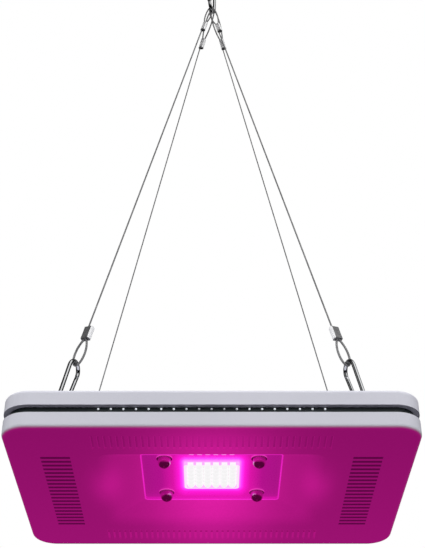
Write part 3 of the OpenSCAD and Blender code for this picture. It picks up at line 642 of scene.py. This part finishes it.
# ---------------------------------------------------------------- wire ropes

WIRE_R = 0.6 * MM
ROPE_LAY = 7.5 * MM  # length of one turn of the strands
STRANDS = 6
RING_STEP = 0.75 * MM
STRAND_X = 1.25 * MM  # half the spacing of the two strands in a ferrule
FERRULE_LEN = 13 * MM
SLEEVE_TURN = math.radians(-13)  # how far a lower ferrule is turned on its rope
LOW_EYE = {-1: 24 * MM, 1: 15 * MM}  # front ropes, back ropes
TOP_EYE = {-1: 26 * MM, 1: 40 * MM}
LOW_SLEEVE = (4.3 * MM, 2.4 * MM)  # half width and half thickness
TOP_SLEEVE = (2.6 * MM, 1.9 * MM)
EYE_SWELL = {"low": 1.7, "top": 1.3}  # how much thicker than the CAD wire a rope is drawn in its eyes
FRONT_SWELL = 1.25  # the same for the front ropes' straight run
RIBS = 6  # on each broad face of a ferrule
RIB_DEPTH = 0.14 * MM
SLEEVE_ROLL = 0.5 * MM  # rounding of a ferrule's ends
SLEEVE_PINCH = 0.035
EYE_TO_SLEEVE = 0.5 * MM
BAR_R = 1.7 * MM
BAR_GAP = 0.3 * MM
BOW_R = 6.5 * MM  # narrow bow of the top hook
ROPE_PITCH = 1.7 * MM  # spacing of the four eyes on that bow
EYE_SLOT = {"front_left": -1.5, "front_right": -0.5, "back_left": 0.5, "back_right": 1.5}


class LocalFrame:
    """z runs along a direction, y lies across it, and x completes them."""

    def __init__(self, origin, along, across):
        self.origin = Vector(origin)
        self.z = Vector(along).normalized()
        across = Vector(across)
        self.y = (across - across.dot(self.z) * self.z).normalized()
        self.x = self.y.cross(self.z)

    def point(self, x, y, z):
        return self.origin + x * self.x + y * self.y + z * self.z


def rope_frames(corner):
    """Local frames of a rope's lower and upper eye, each with its origin on the hook's bar."""
    turn_joint = JOINTS["snap_turn_" + corner]
    bow_joint = JOINTS["lamp_swing"]
    up = Vector(turn_joint["axis"]).normalized()
    low_across = Vector(JOINTS["snap_gate_open_" + corner]["axis"]).cross(up)
    bow = Vector(bow_joint["pos_m"])
    bow_dir = Vector(bow_joint["axis"]).normalized()
    hook_reach = BAR_R - bow.z
    low = LocalFrame(Vector(turn_joint["pos_m"]) + hook_reach * up, up, low_across)
    lean = math.asin(EYE_SLOT[corner] * ROPE_PITCH / BOW_R)
    top_at = bow + Vector((0, 0, BOW_R * (1 - math.cos(lean)))) + BOW_R * math.sin(lean) * bow_dir
    return low, LocalFrame(top_at, -up, bow_dir)


def bezier(a, b, c, d, count):
    """Points of a cubic curve, its last one left out."""
    points = []
    for i in range(count):
        t = i / count
        s = 1 - t
        points.append(tuple(
            s**3 * p + 3 * s * s * t * q + 3 * s * t * t * r + t**3 * u
            for p, q, r, u in zip(a, b, c, d)))
    return points


def eye_outline(length, width):
    """Half of a rope eye as (x, z), from the ferrule's mouth to the bottom of the bar."""
    turn_r = BAR_R + BAR_GAP + WIRE_R
    mouth = (STRAND_X, length)
    widest = (width, length * 0.4)
    bottom = (0.0, -turn_r)
    upper = bezier(mouth, (STRAND_X + 0.6 * (width - STRAND_X), length * 0.85),
                   (width, length * 0.62), widest, 14)
    lower = bezier(widest, (width, length * 0.12), (turn_r * 0.95, -turn_r), bottom, 16)
    return upper + lower + [bottom]


def rope_path(corner):
    """Centre line of a rope from its lower tail to its upper tail."""
    low, top = rope_frames(corner)
    depth = CORNERS[corner][1]
    path = []
    eyes = ((low, LOW_EYE[depth], 4.3 * MM, False), (top, TOP_EYE[depth], 3.6 * MM, True))
    for local, length, width, back in eyes:
        half = eye_outline(length, width)
        tail = length + FERRULE_LEN + 1 * MM
        loop = [(-STRAND_X, tail)] + [(-x, z) for x, z in half] + [(x, z) for x, z in reversed(half[:-1])]
        loop.append((STRAND_X, tail))
        points = [local.point(x, 0, z) for x, z in loop]
        path += reversed(points) if back else points
    return path


def resample(path, step):
    """Evenly spaced points along a path."""
    lengths = [0.0]
    for a, b in zip(path, path[1:]):
        lengths.append(lengths[-1] + (b - a).length)
    count = round(lengths[-1] / step)
    points, leg = [], 0
    for i in range(count + 1):
        at = lengths[-1] * i / count
        while leg < len(path) - 2 and lengths[leg + 1] < at:
            leg += 1
        share = (at - lengths[leg]) / (lengths[leg + 1] - lengths[leg])
        points.append(path[leg].lerp(path[leg + 1], min(share, 1.0)))
    return points


def sweep_frames(points):
    """Two axes across the path at each point, carried along it without twist."""
    ahead = (points[1] - points[0]).normalized()
    side = ahead.orthogonal().normalized()
    frames = []
    for i, point in enumerate(points):
        ahead = (points[min(i + 1, len(points) - 1)] - points[max(i - 1, 0)]).normalized()
        side = (side - side.dot(ahead) * ahead).normalized()
        frames.append((side, ahead.cross(side)))
    return frames


def strand_profile():
    """Outline of six strands round a core, as (angle, radius)."""
    strand_r = WIRE_R / 3
    ring_r = WIRE_R - strand_r
    outline = []
    for strand in range(STRANDS):
        for part in (-2, -1, 0, 1):
            a = part * math.pi / STRANDS / 2
            inside = max(strand_r**2 - (ring_r * math.sin(a)) ** 2, 0.0)
            outline.append((strand * 2 * math.pi / STRANDS + a, ring_r * math.cos(a) + math.sqrt(inside)))
    return outline


def skin(rings):
    """Faces of a closed tube through rings of equal size, with both ends capped."""
    size = len(rings[0])
    vertices = [v for ring in rings for v in ring]
    faces = []
    for i in range(len(rings) - 1):
        for j in range(size):
            k = (j + 1) % size
            faces.append((i * size + j, i * size + k, (i + 1) * size + k, (i + 1) * size + j))
    faces.append(tuple(range(size - 1, -1, -1)))
    faces.append(tuple(range(len(vertices) - size, len(vertices))))
    return vertices, faces


def twisted_rope(corner, finish):
    low, top = rope_frames(corner)
    depth = CORNERS[corner][1]
    points = resample(rope_path(corner), RING_STEP)
    outline = strand_profile()
    rings = []
    for i, (point, (u, v)) in enumerate(zip(points, sweep_frames(points))):
        twist = 2 * math.pi * i * RING_STEP / ROPE_LAY
        swell = FRONT_SWELL if depth < 0 else 1.0
        if (point - low.origin).dot(low.z) < LOW_EYE[depth]:
            swell = EYE_SWELL["low"]
        elif (point - top.origin).dot(top.z) < TOP_EYE[depth]:
            swell = EYE_SWELL["top"]
        rings.append([
            point + swell * r * (math.cos(a + twist) * u + math.sin(a + twist) * v)
            for a, r in outline])
    rope = mesh_piece("rope_" + corner, *skin(rings))
    rope.data.materials.append(finish)
    rope.data.shade_smooth()
    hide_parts("wire_" + corner)
    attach(rope, "lamp")


def sleeve_section(half_w, half_t):
    """Pressed sleeve across its length: two ribbed broad faces, four slanted facets, two narrow sides."""
    facet = 0.9 * MM
    broad = half_w - facet
    upper = [(half_w, 0.35 * half_t), (half_w - 0.12 * MM, 0.5 * half_t), (broad + 0.1 * MM, 0.94 * half_t)]
    steps = RIBS * 6
    for i in range(steps + 1):
        share = i / steps
        groove = RIB_DEPTH * (0.5 - 0.5 * math.cos(2 * math.pi * RIBS * share))
        upper.append((broad * (1 - 2 * share), half_t - groove))
    upper += [(-x, y) for x, y in reversed(upper[:3])]
    return upper + [(-x, -y) for x, y in upper]


def crimped_ferrule(name, local, start, half_w, half_t, turn, metals):
    """Sleeve pressed on both strands, its ends a little rolled in and its middle a little pinched."""
    local = LocalFrame(local.origin, local.z, math.cos(turn) * local.y + math.sin(turn) * local.x)
    rings = []
    count = 26
    for i in range(count + 1):
        share = i / count
        end = min(share, 1 - share) * FERRULE_LEN
        rolled = min(SLEEVE_ROLL, max(0.0, SLEEVE_ROLL - end))
        pinch = 1 - SLEEVE_PINCH * math.sin(math.pi * share)
        rings.append([
            local.point(x * pinch * (1 - rolled / half_w), y * (1 - rolled / half_t),
                        start + share * FERRULE_LEN)
            for x, y in sleeve_section(half_w, half_t)])
    sleeve = mesh_piece("sleeve_" + name, *skin(rings))
    for metal in metals:
        sleeve.data.materials.append(metal)
    # the narrow sides take the painted highlight finish
    for face in sleeve.data.polygons:
        if abs(face.normal.dot(local.y)) < 0.8 and abs(face.normal.dot(local.z)) < 0.3:
            face.material_index = 1
    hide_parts(name)
    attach(sleeve, "lamp")


def make_ropes(finishes):
    metals = (finishes["ferrule_metal"], finishes["ferrule_side_highlight"])
    for corner, (side, depth) in CORNERS.items():
        twisted_rope(corner, finishes["rope_steel"])
        low, top = rope_frames(corner)
        turn = side * SLEEVE_TURN
        low_start = LOW_EYE[depth] + EYE_TO_SLEEVE
        top_start = TOP_EYE[depth] + EYE_TO_SLEEVE
        crimped_ferrule("low_ferrule_" + corner, low, low_start, *LOW_SLEEVE, turn, metals)
        crimped_ferrule("top_ferrule_" + corner, top, top_start, *TOP_SLEEVE, 0.0, metals)


# ---------------------------------------------------------------- build


bpy.context.scene.view_settings.view_transform = "Standard"
make_camera()
make_lights()
make_world()
make_floor()
FINISHES = make_finishes()
dress_nodes(FINISHES)
make_window_bead(bead_painted_light())
make_ropes(FINISHES)
